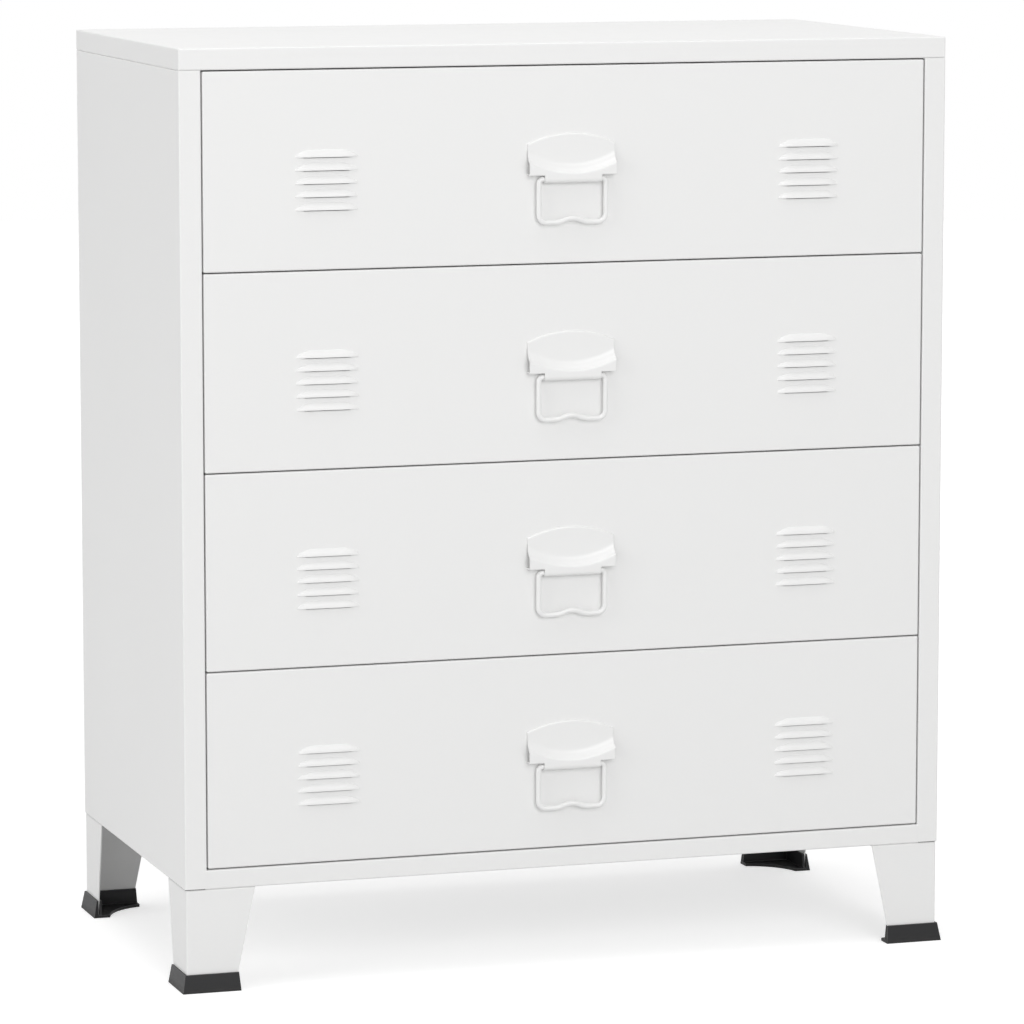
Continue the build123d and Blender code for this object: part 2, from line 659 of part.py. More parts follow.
# Drawer front: a pan with turned-in edges, two groups of louvres and two stud holes
with BuildPart() as front:
    with BuildSketch(FACE):
        with Locations((0, FRONT_HEIGHT / 2)):
            Rectangle(FRONT_WIDTH, FRONT_HEIGHT)
    extrude(amount=-FRONT_DEPTH)
    fillet(front.edges().filter_by(Axis.Y), BEND)
    fillet(front.faces().sort_by(Axis.Y)[0].edges(), BEND)
    with BuildSketch(Plane.XZ.offset(-Y_FRONT - SHEET)):
        with Locations((0, FRONT_HEIGHT / 2)):
            Rectangle(FRONT_WIDTH - 2 * SHEET, FRONT_HEIGHT - 2 * SHEET)
    extrude(amount=-(FRONT_DEPTH - 2 * SHEET), mode=Mode.SUBTRACT)
    with BuildSketch(Plane.XZ.offset(-Y_TRAY)):
        with Locations((0, FRONT_HEIGHT / 2)):
            Rectangle(FRONT_WIDTH - 2 * FRONT_RETURN, FRONT_HEIGHT - 2 * FRONT_RETURN)
    extrude(amount=SHEET, mode=Mode.SUBTRACT)
    with Locations(*LOUVRE_PLACES):
        add(scoop.part)
    with Locations(*LOUVRE_PLACES):
        add(slit.part, mode=Mode.SUBTRACT)
    with BuildSketch(FACE):
        with Locations(*STUD_PLACES):
            Circle(STUD_DIAMETER / 2 + STUD_CLEARANCE)
    extrude(amount=-SHEET, mode=Mode.SUBTRACT)


# Handle plate: one sheet coved out along an arc, its lower tab rolled round the bail
with BuildPart() as handle_plate:
    with BuildSketch(Plane.YZ):
        with BuildLine():
            plate = Line(
                (Y_FRONT - HANDLE_RAISE, Z_ARCH + 2 * ARCH_RISE),
                (Y_FRONT - HANDLE_RAISE, Z_ARCH - COVE_DROP),
            )
            cove = JernArc(plate @ 1, plate % 1, COVE_BEND, -COVE_ANGLE)
            crease = JernArc(cove @ 1, cove % 1, HANDLE_BEND, COVE_ANGLE)
            Line(crease @ 1, (Y_FRONT - BAND_OUT, Z_PIVOT - 2 * ROLL_OUTSIDE))
            offset(amount=HANDLE_SHEET, side=Side.LEFT)
        make_face()
    revolve(axis=Axis((0, 0, Z_ARCH - COVE_DROP + COVE_RADIUS), (0, 1, 0)))
    # The rim is turned back to the drawer front along the arch and down both sides
    with BuildSketch(FACE):
        with Locations((0, Z_ARCH - ARCH_RADIUS)):
            Circle(ARCH_RADIUS + HANDLE_SHEET)
            Circle(ARCH_RADIUS - HANDLE_SHEET, mode=Mode.SUBTRACT)
        with Locations((0, Z_ARCH - ARCH_RISE)):
            Rectangle(
                HANDLE_WIDTH,
                2 * ARCH_RISE,
                align=(Align.CENTER, Align.MIN),
                mode=Mode.INTERSECT,
            )
            with GridLocations(HANDLE_WIDTH - HANDLE_SHEET, 0, 2, 1):
                Rectangle(HANDLE_SHEET, RIM_SIDE, align=(Align.CENTER, Align.MAX))
    extrude(amount=HANDLE_RAISE - HANDLE_SHEET / 2)
    # Each wing of the band is closed below by a return
    with BuildSketch(FACE):
        with Locations((0, Z_ARCH - BAND_BOTTOM)):
            with GridLocations((HANDLE_WIDTH + TAB_WIDTH) / 2, 0, 2, 1):
                Rectangle(
                    (HANDLE_WIDTH - TAB_WIDTH) / 2,
                    HANDLE_SHEET,
                    align=(Align.CENTER, Align.MIN),
                )
    extrude(amount=BAND_OUT - HANDLE_SHEET / 2)
    with BuildSketch(FACE):
        with BuildLine():
            arch = ThreePointArc(
                (-HANDLE_WIDTH / 2, Z_ARCH - ARCH_RISE),
                (0, Z_ARCH),
                (HANDLE_WIDTH / 2, Z_ARCH - ARCH_RISE),
            )
            Polyline(
                arch @ 1,
                (HANDLE_WIDTH / 2, Z_ARCH - BAND_BOTTOM),
                (TAB_WIDTH / 2, Z_ARCH - BAND_BOTTOM),
                (TAB_WIDTH / 2, Z_PIVOT),
                (-TAB_WIDTH / 2, Z_PIVOT),
                (-TAB_WIDTH / 2, Z_ARCH - BAND_BOTTOM),
                (-HANDLE_WIDTH / 2, Z_ARCH - BAND_BOTTOM),
                arch @ 0,
            )
        make_face()
    extrude(amount=2 * BAND_OUT, mode=Mode.INTERSECT)
    with BuildSketch(Plane.YZ):
        with Locations((Y_FRONT - HANDLE_RAISE + ARCH_EDGE, Z_ARCH - ARCH_EDGE)):
            Rectangle(2 * ARCH_EDGE, 2 * ARCH_EDGE, align=(Align.MAX, Align.MIN))
            Circle(ARCH_EDGE, mode=Mode.SUBTRACT)
    revolve(axis=Axis((0, 0, Z_ARCH - ARCH_RADIUS), (0, 1, 0)), mode=Mode.SUBTRACT)
    # The roll leaves a slot between its free end and the back of the tab
    with BuildSketch(Plane.YZ.offset(-TAB_WIDTH / 2)):
        with Locations((Y_PIVOT, Z_PIVOT)):
            Circle(ROLL_OUTSIDE)
            Circle(ROLL_INSIDE, mode=Mode.SUBTRACT)
            Rectangle(
                2 * ROLL_OUTSIDE,
                2 * ROLL_OUTSIDE,
                align=(Align.MAX, Align.MIN),
                mode=Mode.SUBTRACT,
            )
    extrude(amount=TAB_WIDTH)
    with BuildSketch(FACE.offset(HANDLE_RAISE - HANDLE_SHEET / 2)):
        with Locations(*STUD_PLACES):
            Circle(STUD_DIAMETER / 2)
    extrude(amount=-(STUD_LENGTH + HANDLE_RAISE - HANDLE_SHEET / 2))


# Handle nuts, on the studs inside the drawer front
with BuildPart() as handle_nuts:
    with BuildSketch(Plane.XZ.offset(-Y_FRONT - SHEET)):
        with Locations(*STUD_PLACES):
            RegularPolygon(STUD_NUT_WIDTH / 2, 6, major_radius=False)
            Circle(STUD_DIAMETER / 2 + STUD_CLEARANCE, mode=Mode.SUBTRACT)
    extrude(amount=-STUD_NUT_HEIGHT)


# Wire bail: one wire bent round until its ends meet inside the rolled tab
with BuildPart() as bail:
    bail_leg = BAIL_SPAN / 2
    bail_low = Z_PIVOT - BAIL_DROP
    wave_radius = (BAIL_WAVE**2 + BAIL_CREST**2) / (4 * BAIL_CREST)
    with BuildLine(Plane.XZ.offset(-Y_PIVOT)):
        top_bar = Line((WIRE_JOINT / 2, Z_PIVOT), (bail_leg - BAIL_SHOULDER, Z_PIVOT))
        shoulder = RadiusArc(
            top_bar @ 1, (bail_leg, Z_PIVOT - BAIL_SHOULDER), BAIL_SHOULDER
        )
        side_bar = Line(shoulder @ 1, (bail_leg, bail_low + BAIL_CORNER))
        corner = RadiusArc(side_bar @ 1, (bail_leg - BAIL_CORNER, bail_low), BAIL_CORNER)
        lobe = Line(corner @ 1, (BAIL_WAVE, bail_low))
        dip = RadiusArc(
            lobe @ 1, (BAIL_WAVE / 2, bail_low + BAIL_CREST / 2), wave_radius
        )
        crest = RadiusArc(dip @ 1, (0, bail_low + BAIL_CREST), -wave_radius)
        mirror(about=Plane.YZ)
    with BuildSketch(Plane.YZ.offset(WIRE_JOINT / 2)):
        with Locations((Y_PIVOT, Z_PIVOT)):
            Circle(WIRE_DIAMETER / 2)
    sweep()


# One set of these for each drawer
for number in DRAWERS:
    lift = Location((0, 0, front_bottom(number)))
    for builder, name in ((runner, "runner"), (rail, "drawer_rail")):
        with BuildPart() as left:
            mirror(builder.part, about=MIRROR_X)
        save(builder.part.moved(lift), f"right_{name}_{number}")
        save(left.part.moved(lift), f"left_{name}_{number}")
    save(front.part.moved(lift), f"drawer_front_{number}")
    save(tray.part.moved(lift), f"drawer_tray_{number}")
    save(handle_plate.part.moved(lift), f"handle_plate_{number}")
    save(handle_nuts.part.moved(lift), f"handle_nuts_{number}")
    save(bail.part.moved(lift), f"handle_bail_{number}")
    save(front_rollers.part.moved(lift), f"front_rollers_{number}")
    save(rear_rollers.part.moved(lift), f"rear_rollers_{number}")
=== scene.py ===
"""Drawer cabinet dresser: powder coat, moulded shoes, fasteners, rollers and a plain studio.

The script is laid out as an add-on. Each operator finishes one piece, or one group of
pieces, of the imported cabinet, and the last one sets the stage. Lengths are in metres, in
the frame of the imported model: +Z is up and the drawers open towards -Y.
"""

import json
import math

import bmesh
import bpy
from bpy.props import FloatProperty, FloatVectorProperty, IntProperty, PointerProperty
from bpy.types import Operator, Panel, PropertyGroup
from mathutils import Matrix, Vector


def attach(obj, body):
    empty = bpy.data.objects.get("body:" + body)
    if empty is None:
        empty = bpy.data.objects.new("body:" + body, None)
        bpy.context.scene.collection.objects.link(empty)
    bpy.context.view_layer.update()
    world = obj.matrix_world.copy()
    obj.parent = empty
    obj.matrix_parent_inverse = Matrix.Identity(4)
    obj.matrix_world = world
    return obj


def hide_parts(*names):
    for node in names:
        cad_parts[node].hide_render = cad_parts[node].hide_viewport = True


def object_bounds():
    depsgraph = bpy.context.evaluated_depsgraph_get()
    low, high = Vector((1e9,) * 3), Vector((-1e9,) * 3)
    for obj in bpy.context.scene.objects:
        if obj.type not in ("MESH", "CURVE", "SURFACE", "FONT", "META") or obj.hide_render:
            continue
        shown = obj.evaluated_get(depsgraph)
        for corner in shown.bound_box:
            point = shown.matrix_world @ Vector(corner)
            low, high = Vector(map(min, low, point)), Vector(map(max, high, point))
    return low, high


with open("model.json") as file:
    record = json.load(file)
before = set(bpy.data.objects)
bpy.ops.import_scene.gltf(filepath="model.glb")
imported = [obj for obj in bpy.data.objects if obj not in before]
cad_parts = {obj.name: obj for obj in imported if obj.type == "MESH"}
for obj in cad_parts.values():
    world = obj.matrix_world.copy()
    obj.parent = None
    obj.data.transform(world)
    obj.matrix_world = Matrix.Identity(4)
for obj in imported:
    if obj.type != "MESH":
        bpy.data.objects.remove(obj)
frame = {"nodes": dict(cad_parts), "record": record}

bl_info = {
    "name": "Drawer Cabinet Dresser",
    "version": (1, 0, 0),
    "blender": (4, 5, 0),
    "location": "View3D > Sidebar > Cabinet",
    "description": "Gives a packed drawer cabinet its coat, fittings and studio",
    "category": "Object",
}

CAD_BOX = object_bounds()
CORNERS = ("front_left", "front_right", "rear_left", "rear_right")
SIDES = ("left", "right")
DRAWERS = (1, 2, 3, 4)
WHITE = (1.0, 1.0, 1.0, 1.0)
NODE_SPACING = 190.0
SHARP_ANGLE = math.radians(32.0)
SCREW_PITCH = 0.0013
BOLT_PITCH = 0.001
SCREW_SPIN = math.radians(37.0)  # between one back screw and the next
BOLT_SPIN = math.radians(23.0)  # between one leg bolt and the next
ROLLER_HUB = 0.0016  # wall of the hub round the bore
ROLLER_RIM = 0.0024  # wall of the rim under the tread
ROLLER_SINK = 0.0007  # depth of the sunk sides
ROLLER_CHAMFER = 0.0003
ROLLER_ROUND = 0.0008  # radius of the tread's edges
WELD_BACK = 0.0001  # back from the edge's reach, so that a filled joint starts on the rail
WELD_STEPS = 6
LAMP_SIZE = 3.0
KEY_PLACE = (0.4, -5.4, 2.5)
TOP_PLACE = (-0.3, -0.3, 3.8)
FILL_PLACE = (-4.5, -1.2, 1.9)
GLOW_NEAR = 0.8  # where the floor's glow starts to rise
GLOW_FAR = 4.0  # where it is full
FLOOR_SEGMENTS = 96


# Settings

class CabinetCoatSettings(PropertyGroup):
    """The white powder coat of the body, the drawers and the handles."""

    colour: FloatVectorProperty(
        name="Coat colour",
        description="Colour of the powder coat",
        subtype="COLOR",
        min=0.0,
        max=1.0,
        default=(0.86, 0.86, 0.855),
    )
    runner_colour: FloatVectorProperty(
        name="Runner colour",
        description="Colour of the epoxy coat on the runners and rails",
        subtype="COLOR",
        min=0.0,
        max=1.0,
        default=(0.80, 0.80, 0.79),
    )
    dust_colour: FloatVectorProperty(
        name="Dust colour",
        description="Colour of the little dust that lies on level faces",
        subtype="COLOR",
        min=0.0,
        max=1.0,
        default=(0.74, 0.73, 0.71),
    )
    roughness: FloatProperty(
        name="Roughness",
        description="Mean roughness of the satin coat",
        subtype="FACTOR",
        min=0.0,
        max=1.0,
        default=0.42,
    )
    handle_roughness: FloatProperty(
        name="Handle roughness",
        description="Mean roughness of the thicker coat on the handles",
        subtype="FACTOR",
        min=0.0,
        max=1.0,
        default=0.34,
    )
    peel_size: FloatProperty(
        name="Peel size",
        description="Distance between the soft bumps of the orange peel",
        subtype="DISTANCE",
        unit="LENGTH",
        min=0.0002,
        default=0.0026,
    )
    peel_depth: FloatProperty(
        name="Peel depth",
        description="Height of the soft bumps of the orange peel",
        subtype="DISTANCE",
        unit="LENGTH",
        min=0.0,
        default=0.000022,
    )
    grain_size: FloatProperty(
        name="Grain size",
        description="Distance between the fine grains of the coat",
        subtype="DISTANCE",
        unit="LENGTH",
        min=0.0001,
        default=0.0006,
    )
    grain_depth: FloatProperty(
        name="Grain depth",
        description="Height of the fine grains of the coat",
        subtype="DISTANCE",
        unit="LENGTH",
        min=0.0,
        default=0.000003,
    )
    painted_edge_shading: FloatVectorProperty(
        name="Edge colour",
        # Colour of the painted shade laid on the bottom panel's edge, in the slot between the stiles and
        # the legs
        description="Colour of the bottom panel's cut edge, which the coat does not reach",
        subtype="COLOR",
        min=0.0,
        max=1.0,
        default=(0.03, 0.03, 0.03),
    )
    edge_height: FloatProperty(
        name="Edge height",
        description="Height up to which the bottom panel's edge shows above the legs",
        subtype="DISTANCE",
        unit="LENGTH",
        min=0.0,
        default=0.1029,
    )
    edge_reach: FloatProperty(
        name="Edge reach",
        description="Distance from the middle to where the bottom panel's edge lies under the stiles",
        subtype="DISTANCE",
        unit="LENGTH",
        min=0.0,
        default=0.3729,
    )
    handle_round: FloatProperty(
        name="Handle round",
        description="Radius that the thick coat gives to the edges of the handles",
        subtype="DISTANCE",
        unit="LENGTH",
        min=0.0,
        default=0.0012,
    )
    weld_width: FloatProperty(
        name="Weld width",
        description="Width of the filled joint between the rail and each stile",
        subtype="DISTANCE",
        unit="LENGTH",
        min=0.0001,
        default=0.0018,
    )
    weld_round: FloatProperty(
        name="Weld round",
        description="Radius of the rail's bends, which the filled joint follows",
        subtype="DISTANCE",
        unit="LENGTH",
        min=0.0001,
        default=0.0016,
    )


class CabinetShoeSettings(PropertyGroup):
    """The black plastic shoes under the legs."""

    colour: FloatVectorProperty(
        name="Shoe colour",
        description="Colour of the moulded plastic",
        subtype="COLOR",
        min=0.0,
        max=1.0,
        default=(0.013, 0.013, 0.014),
    )
    scuff_colour: FloatVectorProperty(
        name="Scuff colour",
        description="Colour of the plastic where the floor has rubbed it",
        subtype="COLOR",
        min=0.0,
        max=1.0,
        default=(0.032, 0.031, 0.030),
    )
    roughness: FloatProperty(
        name="Roughness",
        description="Mean roughness of the plastic",
        subtype="FACTOR",
        min=0.0,
        max=1.0,
        default=0.46,
    )
    scuff_height: FloatProperty(
        name="Scuff height",
        description="How far above the floor the shoes are scuffed",
        subtype="DISTANCE",
        unit="LENGTH",
        min=0.001,
        default=0.007,
    )
    grain_size: FloatProperty(
        name="Grain size",
        description="Size of the cells in the moulded grain",
        subtype="DISTANCE",
        unit="LENGTH",
        min=0.0002,
        default=0.0009,
    )
    grain_depth: FloatProperty(
        name="Grain depth",
        description="Depth of the moulded grain",
        subtype="DISTANCE",
        unit="LENGTH",
        min=0.0,
        default=0.00003,
    )
    painted_edge_shading: FloatVectorProperty(
        name="Edge colour",
        # Colour of the painted highlight along the moulded edges of the shoes
        description="Colour of the plastic where its edges are polished by handling",
        subtype="COLOR",
        min=0.0,
        max=1.0,
        default=(0.12, 0.12, 0.12),
    )
    edge_round: FloatProperty(
        name="Edge round",
        description="Radius that the moulded edges seem to have",
        subtype="DISTANCE",
        unit="LENGTH",
        min=0.0,
        default=0.0009,
    )


class CabinetFittingSettings(PropertyGroup):
    """Zinc-plated fasteners and nylon rollers."""

    zinc_colour: FloatVectorProperty(
        name="Zinc colour",
        description="Colour of the bright plate",
        subtype="COLOR",
        min=0.0,
        max=1.0,
        default=(0.62, 0.63, 0.64),
    )
    zinc_tint: FloatVectorProperty(
        name="Zinc tint",
        description="Colour of the thicker film between the crystals",
        subtype="COLOR",
        min=0.0,
        max=1.0,
        default=(0.54, 0.56, 0.60),
    )
    nylon_colour: FloatVectorProperty(
        name="Nylon colour",
        description="Colour of the natural nylon rollers",
        subtype="COLOR",
        min=0.0,
        max=1.0,
        default=(0.75, 0.74, 0.70),
    )
    screw_head: FloatProperty(
        name="Screw head",
        description="Height of the back screws' heads",
        subtype="DISTANCE",
        unit="LENGTH",
        min=0.0005,
        default=0.0018,
    )
    screw_width: FloatProperty(
        name="Screw width",
        description="Width of the back screws' heads across their flats",
        subtype="DISTANCE",
        unit="LENGTH",
        min=0.002,
        default=0.006,
    )
    screw_shank: FloatProperty(
        name="Screw shank",
        description="Outside radius of the back screws' threads",
        subtype="DISTANCE",
        unit="LENGTH",
        min=0.001,
        default=0.00175,
    )
    bolt_head: FloatProperty(
        name="Bolt head",
        description="Height of the leg bolts' heads",
        subtype="DISTANCE",
        unit="LENGTH",
        min=0.001,
        default=0.004,
    )
    bolt_width: FloatProperty(
        name="Bolt width",
        description="Width of the leg bolts' heads across their flats",
        subtype="DISTANCE",
        unit="LENGTH",
        min=0.004,
        default=0.010,
    )
    bolt_shank: FloatProperty(
        name="Bolt shank",
        description="Outside radius of the leg bolts' threads",
        subtype="DISTANCE",
        unit="LENGTH",
        min=0.001,
        default=0.003,
    )
    roller_bore: FloatProperty(
        name="Roller bore",
        description="Radius of the bore of every roller",
        subtype="DISTANCE",
        unit="LENGTH",
        min=0.001,
        default=0.0031,
    )
    turns: IntProperty(
        name="Turned segments",
        description="Segments around each turned piece",
        min=24,
        max=192,
        default=48,
    )


class CabinetStageSettings(PropertyGroup):
    """The camera, the floor and the lamps."""

    camera_place: FloatVectorProperty(
        name="Camera place",
        description="Where the camera stands",
        subtype="TRANSLATION",
        unit="LENGTH",
        default=(-1.6586, -5.1197, 1.1699),
    )
    camera_yaw: FloatProperty(
        name="Camera yaw",
        description="How far the camera is turned to the right of the drawers' axis",
        subtype="ANGLE",
        unit="ROTATION",
        default=math.radians(18.021),
    )
    camera_pitch: FloatProperty(
        name="Camera pitch",
        description="How far the camera looks down",
        subtype="ANGLE",
        unit="ROTATION",
        default=math.radians(7.821),
    )
    camera_lens: FloatProperty(
        name="Camera lens",
        description="Focal length on a sensor 36 mm wide",
        unit="CAMERA",
        min=10.0,
        default=186.35,
    )
    floor_radius: FloatProperty(
        name="Floor radius",
        description="Radius of the round studio floor",
        subtype="DISTANCE",
        unit="LENGTH",
        min=1.0,
        default=9.0,
    )
    floor_colour: FloatVectorProperty(
        name="Floor colour",
        description="Colour of the studio floor",
        subtype="COLOR",
        min=0.0,
        max=1.0,
        default=(0.68, 0.68, 0.68),
    )
    world_strength: FloatProperty(
        name="World strength",
        description="Light that comes evenly from all round",
        min=0.0,
        default=0.45,
    )
    key_power: FloatProperty(
        name="Key power",
        description="Power of the large lamp in front and above",
        unit="POWER",
        min=0.0,
        default=112.0,
    )
    top_power: FloatProperty(
        name="Top power",
        description="Power of the large lamp above",
        unit="POWER",
        min=0.0,
        default=42.0,
    )
    fill_power: FloatProperty(
        name="Fill power",
        description="Power of the large lamp to the left",
        unit="POWER",
        min=0.0,
        default=56.0,
    )
    floor_glow: FloatProperty(
        name="Floor glow",
        description="Brightness that lifts the floor to white where the camera sees it",
        min=0.0,
        max=1.0,
        default=0.58,
    )
    far_glow: FloatProperty(
        name="Far glow",
        description="The same at the floor's edge, where the lamps no longer reach",
        min=0.0,
        max=1.0,
        default=0.78,
    )


# Shader helpers

def add_node(tree, kind, values=None, **settings):
    """Adds a node and fills its inputs with constants, or with links from other sockets."""
    made = tree.nodes.new(kind)
    made.location = (NODE_SPACING * len(tree.nodes), 0.0)
    for key, value in settings.items():
        setattr(made, key, value)
    for key, value in (values or {}).items():
        if isinstance(value, bpy.types.NodeSocket):
            tree.links.new(value, made.inputs[key])
        else:
            made.inputs[key].default_value = value
    return made


def math_node(tree, operation, first, second=0.0, clamp=False):
    """Adds a Math node and returns its output."""
    return add_node(
        tree, "ShaderNodeMath", {0: first, 1: second}, operation=operation, use_clamp=clamp
    ).outputs[0]


def mix_colours(tree, factor, first, second):
    """Adds a colour Mix node and returns its output."""
    return add_node(
        tree, "ShaderNodeMix", {0: factor, 6: first, 7: second}, data_type="RGBA"
    ).outputs[2]


def shared_group(name, inputs, outputs, fill):
    """Finds a node group by name, or makes it once with its sockets and lets fill wire it."""
    tree = bpy.data.node_groups.get(name)
    if tree:
        return tree
    tree = bpy.data.node_groups.new(name, "ShaderNodeTree")
    for direction, sockets in (("INPUT", inputs), ("OUTPUT", outputs)):
        for label, kind in sockets:
            tree.interface.new_socket(label, in_out=direction, socket_type=kind)
    source = tree.nodes.new("NodeGroupInput")
    result = tree.nodes.new("NodeGroupOutput")
    for label, socket in fill(tree, source.outputs).items():
        tree.links.new(socket, result.inputs[label])
    result.location = (NODE_SPACING * len(tree.nodes), 0.0)
    return tree


def use_group(tree, group, values):
    """Places a shared group in a material and returns its outputs."""
    return add_node(tree, "ShaderNodeGroup", values, node_tree=group).outputs


def orange_peel():
    """Soft peel and fine grain of a baked powder coat, as a height in metres."""

    def fill(tree, given):
        height = None
        for name, detail in (("Peel", 1.0), ("Grain", 2.0)):
            scale = math_node(tree, "DIVIDE", 1.0, given[f"{name} Size"])
            noise = add_node(
                tree,
                "ShaderNodeTexNoise",
                {"Vector": given["Vector"], "Scale": scale, "Detail": detail, "Roughness": 0.4},
            )
            part = math_node(tree, "MULTIPLY", noise.outputs[0], given[f"{name} Depth"])
            height = math_node(tree, "ADD", height, part) if height else part
        return {"Height": height}

    lengths = [
        (f"{name} {kind}", "NodeSocketFloat")
        for name in ("Peel", "Grain")
        for kind in ("Size", "Depth")
    ]
    return shared_group(
        "Orange peel",
        [("Vector", "NodeSocketVector")] + lengths,
        [("Height", "NodeSocketFloat")],
        fill,
    )


def coat_tone():
    """Slow drift and fine specks in the colour and roughness of a sprayed coat."""

    def fill(tree, given):
        drift = add_node(
            tree, "ShaderNodeTexNoise", {"Vector": given["Vector"], "Scale": 3.5, "Detail": 2.0}
        )
        specks = add_node(
            tree, "ShaderNodeTexNoise", {"Vector": given["Vector"], "Scale": 420.0, "Detail": 1.0}
        )
        swing = math_node(tree, "ADD", drift.outputs[0], specks.outputs[0])
        swing = math_node(tree, "SUBTRACT", swing, 1.0)
        shade = math_node(tree, "MULTIPLY", swing, given["Spread"])
        shade = math_node(tree, "ADD", shade, 1.0)
        colour = add_node(
            tree,
            "ShaderNodeVectorMath",
            {0: given["Colour"], "Scale": shade},
            operation="SCALE",
        )
        rough = math_node(tree, "MULTIPLY", swing, 0.12)
        rough = math_node(tree, "ADD", rough, given["Roughness"], clamp=True)
        return {"Colour": colour.outputs[0], "Roughness": rough}

    return shared_group(
        "Coat tone",
        [
            ("Vector", "NodeSocketVector"),
            ("Colour", "NodeSocketColor"),
            ("Spread", "NodeSocketFloat"),
            ("Roughness", "NodeSocketFloat"),
        ],
        [("Colour", "NodeSocketColor"), ("Roughness", "NodeSocketFloat")],
        fill,
    )


def settled_dust():
    """A thin, patchy mask on faces that look up."""

    def fill(tree, given):
        normal = add_node(tree, "ShaderNodeNewGeometry").outputs["Normal"]
        upward = add_node(tree, "ShaderNodeSeparateXYZ", {0: normal}).outputs["Z"]
        level = add_node(
            tree,
            "ShaderNodeMapRange",
            {"Value": upward, "From Min": 0.75, "From Max": 1.0},
        )
        patches = add_node(
            tree,
            "ShaderNodeTexNoise",
            {"Vector": given["Vector"], "Scale": 38.0, "Detail": 6.0, "Roughness": 0.65},
        )
        patchy = add_node(
            tree,
            "ShaderNodeMapRange",
            {"Value": patches.outputs[0], "From Min": 0.42, "From Max": 0.75},
        )
        mask = math_node(tree, "MULTIPLY", level.outputs[0], patchy.outputs[0])
        return {"Mask": math_node(tree, "MULTIPLY", mask, given["Amount"])}

    return shared_group(
        "Settled dust",
        [("Vector", "NodeSocketVector"), ("Amount", "NodeSocketFloat")],
        [("Mask", "NodeSocketFloat")],
        fill,
    )


def floor_scuff():
    """A broken mask that fades out above the floor."""

    def fill(tree, given):
        height = add_node(tree, "ShaderNodeSeparateXYZ", {0: given["Vector"]}).outputs["Z"]
        low = math_node(tree, "DIVIDE", height, given["Height"])
        low = math_node(tree, "SUBTRACT", 1.0, low, clamp=True)
        streaks = add_node(
            tree,
            "ShaderNodeMapping",
            {"Vector": given["Vector"], "Scale": (1.0, 1.0, 6.0)},
        )
        noise = add_node(
            tree,
            "ShaderNodeTexNoise",
            {"Vector": streaks.outputs[0], "Scale": 160.0, "Detail": 5.0, "Roughness": 0.7},
        )
        broken = add_node(
            tree,
            "ShaderNodeMapRange",
            {"Value": noise.outputs[0], "From Min": 0.38, "From Max": 0.68},
        )
        return {"Mask": math_node(tree, "MULTIPLY", low, broken.outputs[0], clamp=True)}

    return shared_group(
        "Floor scuff",
        [("Vector", "NodeSocketVector"), ("Height", "NodeSocketFloat")],
        [("Mask", "NodeSocketFloat")],
        fill,
    )


def painted_slot_shade():
    """Mask of painted shade on the bottom panel's edge, in the slot between the stiles and the legs."""

    def fill(tree, given):
        axes = add_node(tree, "ShaderNodeSeparateXYZ", {"Vector": given["Vector"]}).outputs
        low = math_node(tree, "LESS_THAN", axes["Z"], given["Height"])
        away = math_node(tree, "ABSOLUTE", axes["X"])
        far = math_node(tree, "GREATER_THAN", away, given["Reach"])
        return {"Mask": math_node(tree, "MULTIPLY", low, far)}

    return shared_group(
        "Painted slot shade",
        [
            ("Vector", "NodeSocketVector"),
            ("Height", "NodeSocketFloat"),
            ("Reach", "NodeSocketFloat"),
        ],
        [("Mask", "NodeSocketFloat")],
        fill,
    )


def zinc_plate():
    """Crystals, film tint and fine tool marks of bright zinc plate."""

    def fill(tree, given):
        cells = add_node(
            tree, "ShaderNodeTexVoronoi", {"Vector": given["Vector"], "Scale": 900.0}
        )
        value = add_node(tree, "ShaderNodeSeparateColor", {0: cells.outputs["Color"]}).outputs[0]
        colour = mix_colours(tree, value, given["Colour"], given["Tint"])
        rough = math_node(tree, "MULTIPLY", value, 0.16)
        rough = math_node(tree, "ADD", rough, 0.24)
        marks = add_node(
            tree,
            "ShaderNodeTexNoise",
            {"Vector": given["Vector"], "Scale": 5200.0, "Detail": 2.0},
        )
        height = math_node(tree, "MULTIPLY", marks.outputs[0], 0.000004)
        return {"Colour": colour, "Roughness": rough, "Height": height}

    return shared_group(
        "Zinc plate",
        [
            ("Vector", "NodeSocketVector"),
            ("Colour", "NodeSocketColor"),
            ("Tint", "NodeSocketColor"),
        ],
        [
            ("Colour", "NodeSocketColor"),
            ("Roughness", "NodeSocketFloat"),
            ("Height", "NodeSocketFloat"),
        ],
        fill,
    )


def rgba(colour):
    """A property colour with full alpha."""
    return (*colour, 1.0)


def fresh_material(name):
    """A new node material with a Principled BSDF, and the piece's own coordinates."""
    material = bpy.data.materials.new(name)
    material.use_nodes = True
    tree = material.node_tree
    place = add_node(tree, "ShaderNodeTexCoord").outputs["Object"]
    return material, tree, place, tree.nodes["Principled BSDF"]


def add_bump(tree, shader, height):
    """Joins a height in metres to a shader's normal."""
    bump = add_node(tree, "ShaderNodeBump", {"Height": height, "Distance": 1.0, "Strength": 1.0})
    tree.links.new(bump.outputs["Normal"], shader.inputs["Normal"])
    return bump


def round_normal(tree, radius):
    """Normal of a surface whose edges look rounded by a radius."""
    return add_node(
        tree, "ShaderNodeBevel", {"Radius": radius}, samples=8
    ).outputs["Normal"]


def seen_rays(tree):
    """One where the camera, a gloss or a clear piece sees the stage, and nought for other light."""
    path = add_node(tree, "ShaderNodeLightPath").outputs
    seen = math_node(tree, "MAXIMUM", path["Is Camera Ray"], path["Is Glossy Ray"])
    return math_node(tree, "MAXIMUM", seen, path["Is Transmission Ray"])


